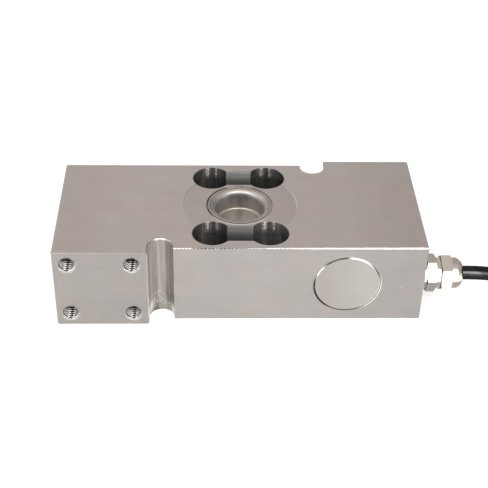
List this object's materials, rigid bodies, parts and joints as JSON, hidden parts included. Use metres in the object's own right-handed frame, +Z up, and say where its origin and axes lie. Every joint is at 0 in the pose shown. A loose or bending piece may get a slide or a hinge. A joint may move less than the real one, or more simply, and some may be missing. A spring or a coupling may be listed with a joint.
{
  "type": "single point load cell",
  "caption": "Sealed stainless steel single point load cell with dogbone flexure slots, welded cups, tapped mounting pads and a cable through a threaded gland.",
  "frame": {"origin": "on the resting face, under the axis of the gauge bore, which is the middle of the block", "axes": "+X along the block towards the cable end, +Y towards the platform pad, which is the load axis in use, +Z up from the resting face along the gauge bore"},
  "size_m": [0.3428, 0.1081, 0.0434],
  "materials": {
    "block_steel": "fine milled and brushed",
    "cup_steel": "turned, satin",
    "disc_steel": "ground flush",
    "gauge_film": "amber polyimide film",
    "gauge_foil": "etched foil",
    "terminal_board": "glass laminate with tinned lands",
    "gauge_lead_sheath": "white sheath",
    "circuit_board": "green laminate",
    "resistor_body": "black chip",
    "spacer_brass": "turned brass",
    "screw_steel": "bright",
    "core_sheath": "insulated cores",
    "gland_nickel": "nickel plate, slightly worn",
    "seal_rubber": "black seal",
    "claw_plastic": "black cage",
    "cable_jacket": "smooth black jacket",
    "tie_nylon": "black nylon",
    "shrink_sleeve": "heat-shrunk sleeve",
    "lead_red": "insulated core",
    "lead_black": "insulated core",
    "lead_green": "insulated core",
    "lead_screen": "twisted tinned screen",
    "lead_white": "insulated core",
    "lead_blue": "insulated core",
    "lead_yellow": "insulated core",
    "tinned_copper": "solder-dipped ends"
  },
  "bodies": {
    "root": {"spring_element": "block_steel", "upper_seal_cup": "cup_steel", "lower_seal_cup": "cup_steel", "cavity_cover_disc": "disc_steel", "upper_gauge_carrier": "gauge_film", "lower_gauge_carrier": "gauge_film", "upper_gauge_foil": "gauge_foil", "lower_gauge_foil": "gauge_foil", "upper_terminal_strip": "terminal_board", "lower_terminal_strip": "terminal_board", "upper_gauge_lead": "gauge_lead_sheath", "lower_gauge_lead": "gauge_lead_sheath", "compensation_board": "circuit_board", "trim_resistors": "resistor_body", "board_spacers": "spacer_brass", "board_screws": "screw_steel", "inner_conductors": "core_sheath", "gland_washer": "gland_nickel", "gland_body": "gland_nickel", "gland_dome_nut": "gland_nickel", "gland_seal": "seal_rubber", "gland_claw": "claw_plastic", "cable_in_gland": "cable_jacket", "cable_run": "cable_jacket", "cable_coil": "cable_jacket", "coil_ties": "tie_nylon", "cable_end_sleeve": "shrink_sleeve", "lead_red": "lead_red", "lead_black": "lead_black", "lead_green": "lead_green", "lead_screen": "lead_screen", "lead_white": "lead_white", "lead_blue": "lead_blue", "lead_yellow": "lead_yellow", "lead_tips": "tinned_copper"}
  },
  "joints": []
}
